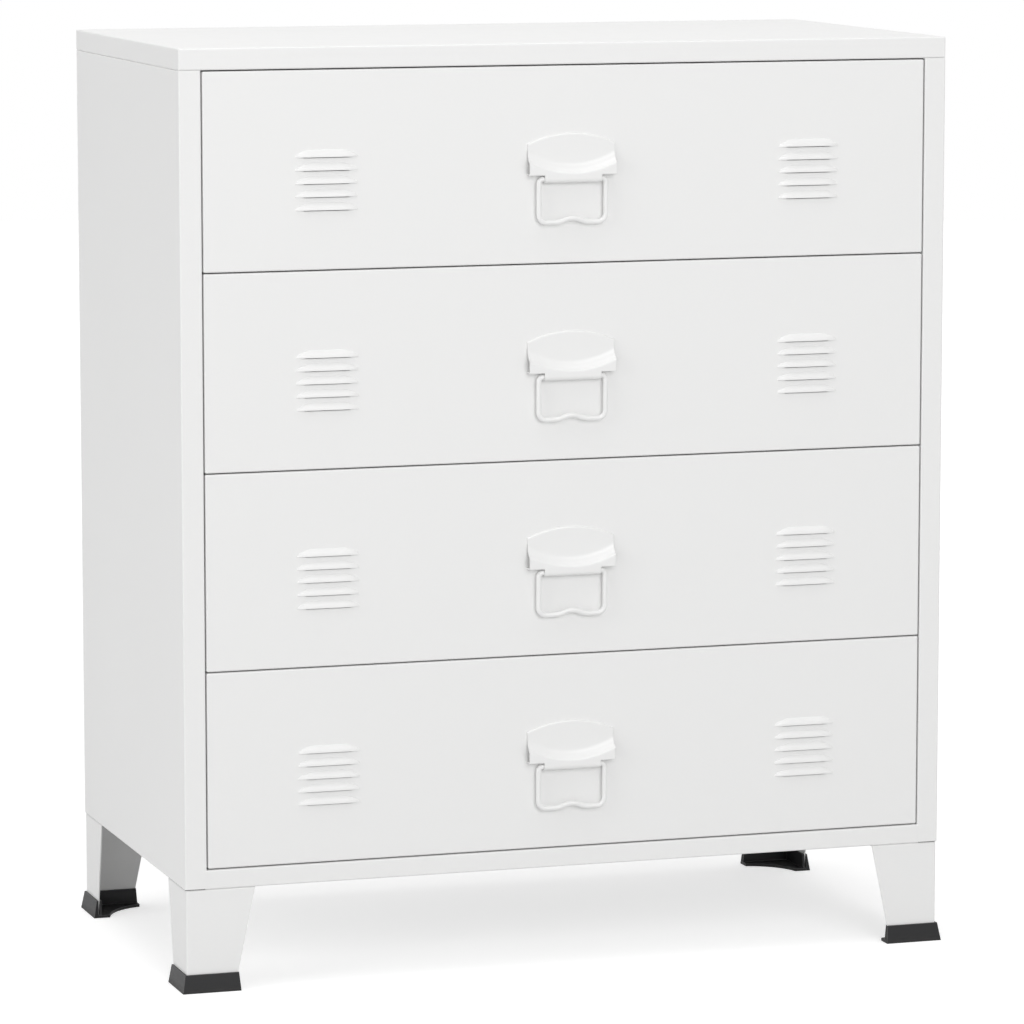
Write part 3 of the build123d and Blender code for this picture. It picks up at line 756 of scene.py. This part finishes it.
def coat_material(name, colour, roughness, spread, dust, slot_shade=False, soft=0.0):
    """Powder coat with orange peel, drift in tone and dust, and painted shade in the slot under the stiles
    or soft edges.
    """
    material = bpy.data.materials.get(name)
    if material:
        return material
    settings = bpy.context.scene.cabinet_coat
    material, tree, place, shader = fresh_material(name)
    tone = use_group(
        tree,
        coat_tone(),
        {"Vector": place, "Colour": rgba(colour), "Spread": spread, "Roughness": roughness},
    )
    mask = use_group(tree, settled_dust(), {"Vector": place, "Amount": dust})["Mask"]
    dust_and_slot_shade = mix_colours(tree, mask, tone["Colour"], rgba(settings.dust_colour))
    # Painted shade: where asked, the bottom panel's edge in the slot under the stiles is coloured near
    # black to stand for the shadow there.
    if slot_shade:
        slot_shade_mask = use_group(
            tree,
            painted_slot_shade(),
            {"Vector": place, "Height": settings.edge_height, "Reach": settings.edge_reach},
        )
        dust_and_slot_shade = mix_colours(tree, slot_shade_mask["Mask"], dust_and_slot_shade, rgba(settings.painted_edge_shading))
    tree.links.new(dust_and_slot_shade, shader.inputs["Base Color"])
    rough = math_node(tree, "MULTIPLY", mask, 0.4)
    rough = math_node(tree, "ADD", rough, tone["Roughness"], clamp=True)
    tree.links.new(rough, shader.inputs["Roughness"])
    peel = use_group(
        tree,
        orange_peel(),
        {
            "Vector": place,
            "Peel Size": settings.peel_size,
            "Peel Depth": settings.peel_depth,
            "Grain Size": settings.grain_size,
            "Grain Depth": settings.grain_depth,
        },
    )
    bump = add_bump(tree, shader, peel["Height"])
    if soft:
        tree.links.new(round_normal(tree, soft), bump.inputs["Normal"])
    return material


def white_coat():
    """The coat of the body, the legs and the drawer fronts."""
    settings = bpy.context.scene.cabinet_coat
    return coat_material("white_coat_satin", settings.colour, settings.roughness, 0.012, 0.10)


def floor_coat():
    """The same coat on the bottom panel, with painted shade on its edge in the slot under the stiles."""
    settings = bpy.context.scene.cabinet_coat
    return coat_material(
        "white_coat_floor", settings.colour, settings.roughness, 0.012, 0.10, True
    )


def inner_coat():
    """The thinner coat inside the drawers and on the back."""
    settings = bpy.context.scene.cabinet_coat
    return coat_material("white_coat_thin", settings.colour, settings.roughness + 0.1, 0.03, 0.16)


def handle_coat():
    """The thicker, smoother coat of the handles."""
    settings = bpy.context.scene.cabinet_coat
    return coat_material(
        "white_coat_thick",
        settings.colour,
        settings.handle_roughness,
        0.01,
        0.06,
        soft=settings.handle_round,
    )


def runner_coat():
    """The epoxy coat of the runners and rails."""
    settings = bpy.context.scene.cabinet_coat
    return coat_material("runner_coat_epoxy", settings.runner_colour, 0.5, 0.05, 0.20)


def shoe_plastic():
    """Black moulded plastic, grained, scuffed where it meets the floor, with a painted highlight along its
    edges.
    """
    material = bpy.data.materials.get("black_shoe_plastic")
    if material:
        return material
    settings = bpy.context.scene.cabinet_shoe
    material, tree, place, shader = fresh_material("black_shoe_plastic")
    tone = use_group(
        tree,
        coat_tone(),
        {
            "Vector": place,
            "Colour": rgba(settings.colour),
            "Spread": 0.25,
            "Roughness": settings.roughness,
        },
    )
    mask = use_group(
        tree, floor_scuff(), {"Vector": place, "Height": settings.scuff_height}
    )["Mask"]
    scuffed = mix_colours(tree, mask, tone["Colour"], rgba(settings.scuff_colour))
    rounded = round_normal(tree, settings.edge_round)
    flat = add_node(tree, "ShaderNodeNewGeometry").outputs["True Normal"]
    # Painted highlight: where the rounded normal turns away from the true normal, along the edges, the
    # colour is lightened.
    turned = add_node(
        tree, "ShaderNodeVectorMath", {0: rounded, 1: flat}, operation="DOT_PRODUCT"
    ).outputs["Value"]
    edge = add_node(
        tree,
        "ShaderNodeMapRange",
        {"Value": turned, "From Min": 0.99, "From Max": 0.86, "To Min": 0.0, "To Max": 1.0},
    ).outputs["Result"]
    scuffed_and_highlit = mix_colours(tree, edge, scuffed, rgba(settings.painted_edge_shading))
    tree.links.new(scuffed_and_highlit, shader.inputs["Base Color"])
    shader.inputs["Specular IOR Level"].default_value = 0.25
    rough = math_node(tree, "MULTIPLY", mask, 0.25)
    rough = math_node(tree, "ADD", rough, tone["Roughness"], clamp=True)
    tree.links.new(rough, shader.inputs["Roughness"])
    cells = add_node(
        tree,
        "ShaderNodeTexVoronoi",
        {"Vector": place, "Scale": 1.0 / settings.grain_size, "Smoothness": 0.6},
        feature="SMOOTH_F1",
    )
    height = math_node(tree, "MULTIPLY", cells.outputs["Distance"], settings.grain_depth)
    bump = add_bump(tree, shader, height)
    tree.links.new(rounded, bump.inputs["Normal"])
    return material


def zinc_steel():
    """Bright zinc plate on the fasteners."""
    material = bpy.data.materials.get("zinc_steel_bright")
    if material:
        return material
    settings = bpy.context.scene.cabinet_fitting
    material, tree, place, shader = fresh_material("zinc_steel_bright")
    plate = use_group(
        tree,
        zinc_plate(),
        {
            "Vector": place,
            "Colour": rgba(settings.zinc_colour),
            "Tint": rgba(settings.zinc_tint),
        },
    )
    shader.inputs["Metallic"].default_value = 1.0
    tree.links.new(plate["Colour"], shader.inputs["Base Color"])
    tree.links.new(plate["Roughness"], shader.inputs["Roughness"])
    add_bump(tree, shader, plate["Height"])
    return material


def roller_nylon():
    """Natural nylon with the faint rings left by turning."""
    material = bpy.data.materials.get("nylon_natural")
    if material:
        return material
    settings = bpy.context.scene.cabinet_fitting
    material, tree, place, shader = fresh_material("nylon_natural")
    tone = use_group(
        tree,
        coat_tone(),
        {
            "Vector": place,
            "Colour": rgba(settings.nylon_colour),
            "Spread": 0.06,
            "Roughness": 0.38,
        },
    )
    tree.links.new(tone["Colour"], shader.inputs["Base Color"])
    tree.links.new(tone["Roughness"], shader.inputs["Roughness"])
    rings = add_node(
        tree,
        "ShaderNodeTexWave",
        {"Vector": place, "Scale": 700.0, "Distortion": 1.5, "Detail": 2.0},
        wave_type="BANDS",
        bands_direction="X",
    )
    height = math_node(tree, "MULTIPLY", rings.outputs["Fac"], 0.00001)
    add_bump(tree, shader, height)
    return material


# Mesh helpers

def finish_nodes(names, material):
    """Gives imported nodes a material."""
    for name in names:
        node = frame["nodes"][name]
        if not node.material_slots:
            node.data.materials.append(material)
        for slot in node.material_slots:
            slot.material = material


def body_holding(node):
    """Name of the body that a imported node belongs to."""
    for body, members in frame["record"]["behaviour"]["bodies"].items():
        if node in members:
            return body
    raise KeyError(f"no body holds {node}")


def solid_boxes(node):
    """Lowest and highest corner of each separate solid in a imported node."""
    mesh = bmesh.new()
    mesh.from_mesh(frame["nodes"][node].data)
    bmesh.ops.remove_doubles(mesh, verts=mesh.verts, dist=1e-6)
    waiting = set(mesh.verts)
    boxes = []
    while waiting:
        grown = [waiting.pop()]
        points = []
        while grown:
            vert = grown.pop()
            points.append(vert.co.copy())
            for edge in vert.link_edges:
                other = edge.other_vert(vert)
                if other in waiting:
                    waiting.remove(other)
                    grown.append(other)
        low = Vector(min(p[axis] for p in points) for axis in range(3))
        high = Vector(max(p[axis] for p in points) for axis in range(3))
        boxes.append((low, high))
    mesh.free()
    return sorted(boxes, key=lambda box: tuple(box[0]))


def skin_rings(mesh, rings, closed=False):
    """Joins rings of equal counts with faces, and caps the two ends or joins them too."""
    loops = [[mesh.verts.new(point) for point in ring] for ring in rings]
    pairs = list(zip(loops, loops[1:]))
    if closed:
        pairs.append((loops[-1], loops[0]))
    else:
        mesh.faces.new(loops[0])
        mesh.faces.new(loops[-1])
    for lower, upper in pairs:
        for here in range(len(lower)):
            after = (here + 1) % len(lower)
            mesh.faces.new((lower[here], lower[after], upper[after], upper[here]))


def add_piece(name, mesh, material, node, stands=True):
    """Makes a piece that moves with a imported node's body, and stands for the node if asked."""
    bmesh.ops.recalc_face_normals(mesh, faces=mesh.faces)
    data = bpy.data.meshes.new(name)
    mesh.to_mesh(data)
    mesh.free()
    data.materials.append(material)
    data.shade_smooth()
    data.set_sharp_from_angle(angle=SHARP_ANGLE)
    piece = bpy.data.objects.new(name, data)
    bpy.context.scene.collection.objects.link(piece)
    if stands:
        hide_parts(node)
    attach(piece, body_holding(node))


def hexagon_radius(angle, across):
    """Distance from the middle of a hexagon to its side in a direction."""
    step = math.radians(60.0)
    return across / 2.0 / math.cos(angle % step - step / 2.0)


def cross_radius(angle, reach, half_width):
    """Distance from the middle of a cross to its outline in a direction."""
    quarter = math.radians(90.0)
    turn = abs((angle + quarter / 2.0) % quarter - quarter / 2.0)
    return min(reach / math.cos(turn), half_width / max(math.sin(turn), 1e-6))


def thread_rings(angles, radius, length, pitch):
    """Rings of a threaded shank from its tip up to the plane z = 0."""
    depth = 0.28 * pitch
    point = 0.4 * pitch
    tip = 0.6 * radius
    steps = max(8, round(length / pitch * 5))
    rings = [[Vector((tip * math.cos(a), tip * math.sin(a), -length)) for a in angles]]
    for step in range(steps + 1):
        z = -length + point + (length - point) * step / steps
        ring = []
        for angle in angles:
            phase = (z / pitch - angle / math.tau) % 1.0
            r = radius - depth * abs(2.0 * phase - 1.0)
            ring.append(Vector((r * math.cos(angle), r * math.sin(angle), z)))
        rings.append(ring)
    return rings


def add_fastener(mesh, place, width, head, shank, length, pitch, crossed):
    """Adds a hexagon screw with a washer face, a chamfer and a thread, seated at z = 0."""
    count = bpy.context.scene.cabinet_fitting.turns
    angles = [math.tau * number / count for number in range(count)]
    crown = 0.46 * width
    flange = 0.56 * width
    washer = 0.12 * head
    bevel = math.tan(math.radians(30.0))

    def ring(radius, height):
        return [
            Vector((radius(a) * math.cos(a), radius(a) * math.sin(a), height(a))) for a in angles
        ]

    def flat(height):
        return lambda angle: height

    def corner(angle):
        return hexagon_radius(angle, width)

    def chamfer(angle):
        return head - bevel * max(0.0, corner(angle) - crown)

    rings = thread_rings(angles, shank, length, pitch)
    rings.append(ring(flat(flange), flat(0.0)))
    rings.append(ring(flat(flange), flat(washer)))
    rings.append(ring(corner, flat(1.3 * washer)))
    rings.append(ring(corner, chamfer))
    rings.append(ring(flat(crown), flat(head)))
    if crossed:
        reach = 0.30 * width
        slot = 0.08 * width
        for share, drop in ((1.0, 0.0), (0.86, 0.35 * head), (0.55, 0.7 * head)):
            rings.append(
                ring(lambda a, s=share: s * cross_radius(a, reach, slot), flat(head - drop))
            )
    else:
        rings.append(ring(flat(0.34 * width), flat(head)))
        rings.append(ring(flat(0.30 * width), flat(0.93 * head)))
    start = len(mesh.verts)
    skin_rings(mesh, rings)
    mesh.verts.ensure_lookup_table()
    bmesh.ops.transform(mesh, matrix=place, verts=mesh.verts[start:])


def add_roller(mesh, low, high, bore):
    """Adds a roller with a hub, sunk sides and a rounded tread, turning about X."""
    count = bpy.context.scene.cabinet_fitting.turns
    middle = (low + high) / 2.0
    radius = (high.z - low.z) / 2.0
    half = (high.x - low.x) / 2.0
    hub = bore + ROLLER_HUB
    rim = radius - ROLLER_RIM
    side = [
        (bore, half - ROLLER_CHAMFER),
        (bore + ROLLER_CHAMFER, half),
        (hub, half),
        (hub + ROLLER_CHAMFER, half - ROLLER_SINK),
        (rim, half - ROLLER_SINK),
        (rim + ROLLER_CHAMFER, half),
        (radius - ROLLER_ROUND, half),
    ]
    side += [
        (
            radius - ROLLER_ROUND * (1.0 - math.sin(math.radians(step))),
            half - ROLLER_ROUND * (1.0 - math.cos(math.radians(step))),
        )
        for step in (30.0, 60.0, 90.0)
    ]
    profile = [(r, -x) for r, x in side] + [(r, x) for r, x in reversed(side)]
    angles = [math.tau * number / count for number in range(count)]
    rings = [
        [middle + Vector((x, r * math.cos(a), r * math.sin(a))) for a in angles] for r, x in profile
    ]
    skin_rings(mesh, rings, closed=True)


# Operators

class CABINET_OT_coat_body(Operator):
    """Coats the top, the sides, the bottom and the back"""

    bl_idname = "cabinet.coat_body"
    bl_label = "Coat Body"

    def execute(self, context):
        finish_nodes(["top_panel", "left_side_panel", "right_side_panel"], white_coat())
        finish_nodes(["bottom_panel"], floor_coat())
        finish_nodes(["back_panel"], inner_coat())
        return {"FINISHED"}


class CABINET_OT_weld_rail(Operator):
    """Fills the joint between the rail and each stile, which is welded, ground and coated"""

    bl_idname = "cabinet.weld_rail"
    bl_label = "Weld Rail"

    def execute(self, context):
        settings = context.scene.cabinet_coat
        low, high = solid_boxes("bottom_panel")[0]
        inner = settings.edge_reach - WELD_BACK
        bend = settings.weld_round
        quarter = [math.radians(90.0 * step / WELD_STEPS) for step in range(WELD_STEPS + 1)]
        section = [
            (low.y + bend - bend * math.sin(a), low.z + bend - bend * math.cos(a)) for a in quarter
        ]
        section += [
            (low.y + bend - bend * math.cos(a), high.z - bend + bend * math.sin(a)) for a in quarter
        ]
        for side, sign in zip(SIDES, (-1.0, 1.0)):
            mesh = bmesh.new()
            ends = (sign * inner, sign * (inner + settings.weld_width))
            skin_rings(mesh, [[Vector((x, y, z)) for y, z in section] for x in ends])
            add_piece(f"{side}_rail_weld", mesh, white_coat(), "bottom_panel", False)
        return {"FINISHED"}


class CABINET_OT_coat_legs(Operator):
    """Coats the four tapered legs"""

    bl_idname = "cabinet.coat_legs"
    bl_label = "Coat Legs"

    def execute(self, context):
        finish_nodes([f"{corner}_leg" for corner in CORNERS], white_coat())
        return {"FINISHED"}


class CABINET_OT_mould_shoes(Operator):
    """Finishes the black shoes under the legs"""

    bl_idname = "cabinet.mould_shoes"
    bl_label = "Mould Shoes"

    def execute(self, context):
        finish_nodes([f"{corner}_foot" for corner in CORNERS], shoe_plastic())
        return {"FINISHED"}


class CABINET_OT_coat_drawers(Operator):
    """Coats the louvred drawer fronts and the trays"""

    bl_idname = "cabinet.coat_drawers"
    bl_label = "Coat Drawers"

    def execute(self, context):
        finish_nodes([f"drawer_front_{number}" for number in DRAWERS], white_coat())
        finish_nodes([f"drawer_tray_{number}" for number in DRAWERS], inner_coat())
        return {"FINISHED"}


class CABINET_OT_coat_handles(Operator):
    """Coats the handle plates and bails, and plates the nuts behind them"""

    bl_idname = "cabinet.coat_handles"
    bl_label = "Coat Handles"

    def execute(self, context):
        for number in DRAWERS:
            finish_nodes([f"handle_plate_{number}", f"handle_bail_{number}"], handle_coat())
            finish_nodes([f"handle_nuts_{number}"], zinc_steel())
        return {"FINISHED"}


class CABINET_OT_coat_runners(Operator):
    """Coats the runners and the drawer rails"""

    bl_idname = "cabinet.coat_runners"
    bl_label = "Coat Runners"

    def execute(self, context):
        names = [
            f"{side}_{kind}_{number}"
            for side in SIDES
            for kind in ("runner", "drawer_rail")
            for number in DRAWERS
        ]
        finish_nodes(names, runner_coat())
        return {"FINISHED"}


class CABINET_OT_turn_rollers(Operator):
    """Turns the nylon rollers of the runners and the rails"""

    bl_idname = "cabinet.turn_rollers"
    bl_label = "Turn Rollers"

    def execute(self, context):
        bore = context.scene.cabinet_fitting.roller_bore
        for end in ("front", "rear"):
            for number in DRAWERS:
                node = f"{end}_rollers_{number}"
                mesh = bmesh.new()
                for low, high in solid_boxes(node):
                    add_roller(mesh, low, high, bore)
                add_piece(f"turned_{node}", mesh, roller_nylon(), node)
        return {"FINISHED"}


class CABINET_OT_drive_screws(Operator):
    """Makes the hexagon screws that hold the back panel"""

    bl_idname = "cabinet.drive_screws"
    bl_label = "Drive Screws"

    def execute(self, context):
        settings = context.scene.cabinet_fitting
        mesh = bmesh.new()
        for number, (low, high) in enumerate(solid_boxes("back_screws")):
            middle = (low + high) / 2.0
            seat = Vector((middle.x, high.y - settings.screw_head, middle.z))
            turn = Matrix.Rotation(math.radians(-90.0), 4, "X")
            spin = Matrix.Rotation(SCREW_SPIN * number, 4, "Z")
            add_fastener(
                mesh,
                Matrix.Translation(seat) @ turn @ spin,
                settings.screw_width,
                settings.screw_head,
                settings.screw_shank,
                seat.y - low.y,
                SCREW_PITCH,
                True,
            )
        add_piece("driven_back_screws", mesh, zinc_steel(), "back_screws")
        return {"FINISHED"}


class CABINET_OT_fit_bolts(Operator):
    """Makes the hexagon bolts that hold the legs"""

    bl_idname = "cabinet.fit_bolts"
    bl_label = "Fit Bolts"

    def execute(self, context):
        settings = context.scene.cabinet_fitting
        mesh = bmesh.new()
        for number, (low, high) in enumerate(solid_boxes("leg_bolts")):
            middle = (low + high) / 2.0
            seat = Vector((middle.x, middle.y, low.z + settings.bolt_head))
            turn = Matrix.Rotation(math.radians(180.0), 4, "X")
            spin = Matrix.Rotation(BOLT_SPIN * number, 4, "Z")
            add_fastener(
                mesh,
                Matrix.Translation(seat) @ turn @ spin,
                settings.bolt_width,
                settings.bolt_head,
                settings.bolt_shank,
                high.z - seat.z,
                BOLT_PITCH,
                False,
            )
        add_piece("fitted_leg_bolts", mesh, zinc_steel(), "leg_bolts")
        return {"FINISHED"}


class CABINET_OT_set_stage(Operator):
    """Sets the floor, the world, the lamps and the camera"""

    bl_idname = "cabinet.set_stage"
    bl_label = "Set Stage"

    def execute(self, context):
        settings = context.scene.cabinet_stage
        context.scene.view_settings.view_transform = "Standard"
        self.add_floor(context, settings)
        self.add_world(context, settings)
        middle = (CAD_BOX[0] + CAD_BOX[1]) / 2.0
        self.add_lamp(context, "key_lamp", KEY_PLACE, middle, settings.key_power)
        self.add_lamp(context, "top_lamp", TOP_PLACE, middle, settings.top_power)
        self.add_lamp(context, "fill_lamp", FILL_PLACE, middle, settings.fill_power)
        self.add_camera(context, settings)
        return {"FINISHED"}

    def add_floor(self, context, settings):
        """A pale round floor that looks white to the camera and keeps the shadow."""
        material = bpy.data.materials.new("studio_floor")
        material.use_nodes = True
        tree = material.node_tree
        tree.nodes.clear()
        paint = add_node(
            tree, "ShaderNodeBsdfDiffuse", {"Color": rgba(settings.floor_colour)}
        )
        seen = seen_rays(tree)
        place = add_node(tree, "ShaderNodeNewGeometry").outputs["Position"]
        away = add_node(tree, "ShaderNodeVectorMath", {0: place}, operation="LENGTH")
        spread = add_node(
            tree,
            "ShaderNodeMapRange",
            {
                "Value": away.outputs["Value"],
                "From Min": GLOW_NEAR,
                "From Max": GLOW_FAR,
                "To Min": settings.floor_glow,
                "To Max": settings.far_glow,
            },
            interpolation_type="SMOOTHSTEP",
        )
        lift = math_node(tree, "MULTIPLY", seen, spread.outputs["Result"])
        glow = add_node(
            tree, "ShaderNodeEmission", {"Color": WHITE, "Strength": lift}
        )
        both = add_node(
            tree, "ShaderNodeAddShader", {0: paint.outputs[0], 1: glow.outputs[0]}
        )
        add_node(tree, "ShaderNodeOutputMaterial", {"Surface": both.outputs[0]})
        mesh = bmesh.new()
        bmesh.ops.create_circle(mesh, cap_ends=True, segments=FLOOR_SEGMENTS, radius=settings.floor_radius)
        data = bpy.data.meshes.new("studio_floor")
        mesh.to_mesh(data)
        mesh.free()
        data.materials.append(material)
        floor = bpy.data.objects.new("studio_floor", data)
        context.scene.collection.objects.link(floor)

    def add_world(self, context, settings):
        """Even light from all round, and white where the camera or a gloss sees past the floor."""
        world = bpy.data.worlds.new("studio_world")
        context.scene.world = world
        world.use_nodes = True
        tree = world.node_tree
        tree.nodes.clear()
        seen = seen_rays(tree)
        light = add_node(
            tree, "ShaderNodeBackground", {"Color": WHITE, "Strength": settings.world_strength}
        )
        sight = add_node(tree, "ShaderNodeBackground", {"Color": WHITE, "Strength": 1.0})
        mixed = add_node(
            tree, "ShaderNodeMixShader", {0: seen, 1: light.outputs[0], 2: sight.outputs[0]}
        )
        add_node(tree, "ShaderNodeOutputWorld", {"Surface": mixed.outputs[0]})

    def add_lamp(self, context, name, place, target, power):
        """A large square area lamp aimed at a point."""
        data = bpy.data.lights.new(name, "AREA")
        data.energy = power
        data.size = LAMP_SIZE
        lamp = bpy.data.objects.new(name, data)
        lamp.location = place
        aim = target - Vector(place)
        lamp.rotation_euler = aim.to_track_quat("-Z", "Y").to_euler()
        context.scene.collection.objects.link(lamp)

    def add_camera(self, context, settings):
        """The camera at the photograph's viewing angle."""
        data = bpy.data.cameras.new("studio_camera")
        data.sensor_width = 36.0
        data.lens = settings.camera_lens
        camera = bpy.data.objects.new("studio_camera", data)
        camera.location = settings.camera_place
        camera.rotation_euler = (
            math.radians(90.0) - settings.camera_pitch,
            0.0,
            -settings.camera_yaw,
        )
        context.scene.collection.objects.link(camera)
        context.scene.camera = camera


OPERATORS = (
    CABINET_OT_coat_body,
    CABINET_OT_weld_rail,
    CABINET_OT_coat_legs,
    CABINET_OT_mould_shoes,
    CABINET_OT_coat_drawers,
    CABINET_OT_coat_handles,
    CABINET_OT_coat_runners,
    CABINET_OT_turn_rollers,
    CABINET_OT_drive_screws,
    CABINET_OT_fit_bolts,
    CABINET_OT_set_stage,
)

SETTINGS = {
    "cabinet_coat": CabinetCoatSettings,
    "cabinet_shoe": CabinetShoeSettings,
    "cabinet_fitting": CabinetFittingSettings,
    "cabinet_stage": CabinetStageSettings,
}


class CABINET_PT_dresser(Panel):
    """Settings and steps of the cabinet's finish"""

    bl_idname = "CABINET_PT_dresser"
    bl_label = "Drawer Cabinet"
    bl_space_type = "VIEW_3D"
    bl_region_type = "UI"
    bl_category = "Cabinet"

    def draw(self, context):
        for name, group in SETTINGS.items():
            box = self.layout.box()
            box.label(text=name.replace("_", " ").title())
            for key in group.__annotations__:
                box.prop(getattr(context.scene, name), key)
        column = self.layout.column(align=True)
        for operator in OPERATORS:
            column.operator(operator.bl_idname)


def register():
    """Registers the settings, the operators and the panel."""
    for name, group in SETTINGS.items():
        bpy.utils.register_class(group)
        setattr(bpy.types.Scene, name, PointerProperty(type=group))
    for operator in OPERATORS:
        bpy.utils.register_class(operator)
    bpy.utils.register_class(CABINET_PT_dresser)


def unregister():
    """Takes back what register added."""
    bpy.utils.unregister_class(CABINET_PT_dresser)
    for operator in reversed(OPERATORS):
        bpy.utils.unregister_class(operator)
    for name, group in SETTINGS.items():
        delattr(bpy.types.Scene, name)
        bpy.utils.unregister_class(group)


def main():
    """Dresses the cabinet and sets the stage."""
    register()
    bpy.ops.cabinet.coat_body()
    bpy.ops.cabinet.weld_rail()
    bpy.ops.cabinet.coat_legs()
    bpy.ops.cabinet.mould_shoes()
    bpy.ops.cabinet.coat_drawers()
    bpy.ops.cabinet.coat_handles()
    bpy.ops.cabinet.coat_runners()
    bpy.ops.cabinet.turn_rollers()
    bpy.ops.cabinet.drive_screws()
    bpy.ops.cabinet.fit_bolts()
    bpy.ops.cabinet.set_stage()


if __name__ == "__main__":
    main()
